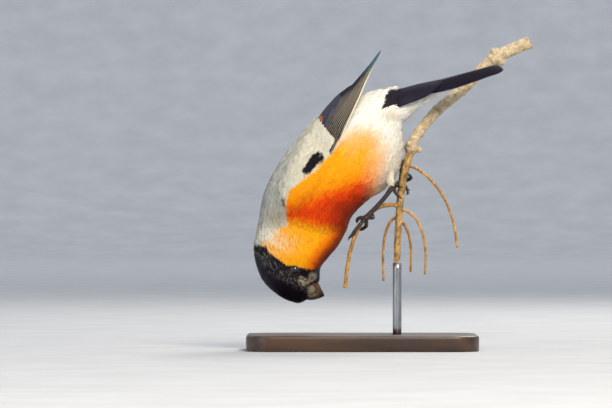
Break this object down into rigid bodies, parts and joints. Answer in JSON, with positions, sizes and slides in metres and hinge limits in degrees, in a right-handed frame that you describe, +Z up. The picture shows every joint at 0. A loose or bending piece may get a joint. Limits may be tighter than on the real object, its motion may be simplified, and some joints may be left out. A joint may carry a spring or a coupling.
{
  "type": "bullfinch",
  "caption": "Small stout songbird with a short thick bill, clinging head down to a cut twig with its tail up behind it, the twig held by a rod on a flat display base.",
  "frame": {"origin": "centre of the underside of the display base", "axes": "+Z up, -X towards the side the bill points to, -Y out of the left side of the bird, whose middle plane is the XZ plane"},
  "size_m": [0.1296, 0.066, 0.1418],
  "materials": {
    "bark": "pale dry bark",
    "bill": "smooth dark horn",
    "breast_orange": "soft orange-red breast feathers, grey on the back",
    "cap_black": "glossy blue-black cap feathers",
    "claw": "polished dark horn",
    "eye": "wet dark brown",
    "leg": "dark scaled skin",
    "rump_white": "soft white feathers",
    "stalk": "straw-yellow dry stalk",
    "stand_steel": "brushed",
    "stand_wood": "dark satin hardwood",
    "wing_black": "glossy black flight feathers"
  },
  "bodies": {
    "root": {"bill_lower": "bill", "bill_upper": "bill", "claw_left_1": "claw", "claw_left_2": "claw", "claw_left_3": "claw", "claw_left_4": "claw", "claw_right_1": "claw", "claw_right_2": "claw", "claw_right_3": "claw", "claw_right_4": "claw", "eye_left": "eye", "eye_right": "eye", "foot_left": "leg", "foot_right": "leg", "head": "cap_black", "neck": "breast_orange", "perch_stalk_back": "stalk", "perch_stalk_left": "stalk", "perch_stalk_middle": "stalk", "perch_stalk_outer": "stalk", "perch_stalk_right": "stalk", "perch_stem": "bark", "perch_twig": "bark", "rump": "rump_white", "stand_base": "stand_wood", "stand_rod": "stand_steel", "tail": "wing_black", "tarsus_left": "leg", "tarsus_right": "leg", "thigh_left": "rump_white", "thigh_right": "rump_white", "torso": "breast_orange", "undertail": "rump_white", "wing_left": "wing_black", "wing_right": "wing_black"}
  },
  "joints": []
}
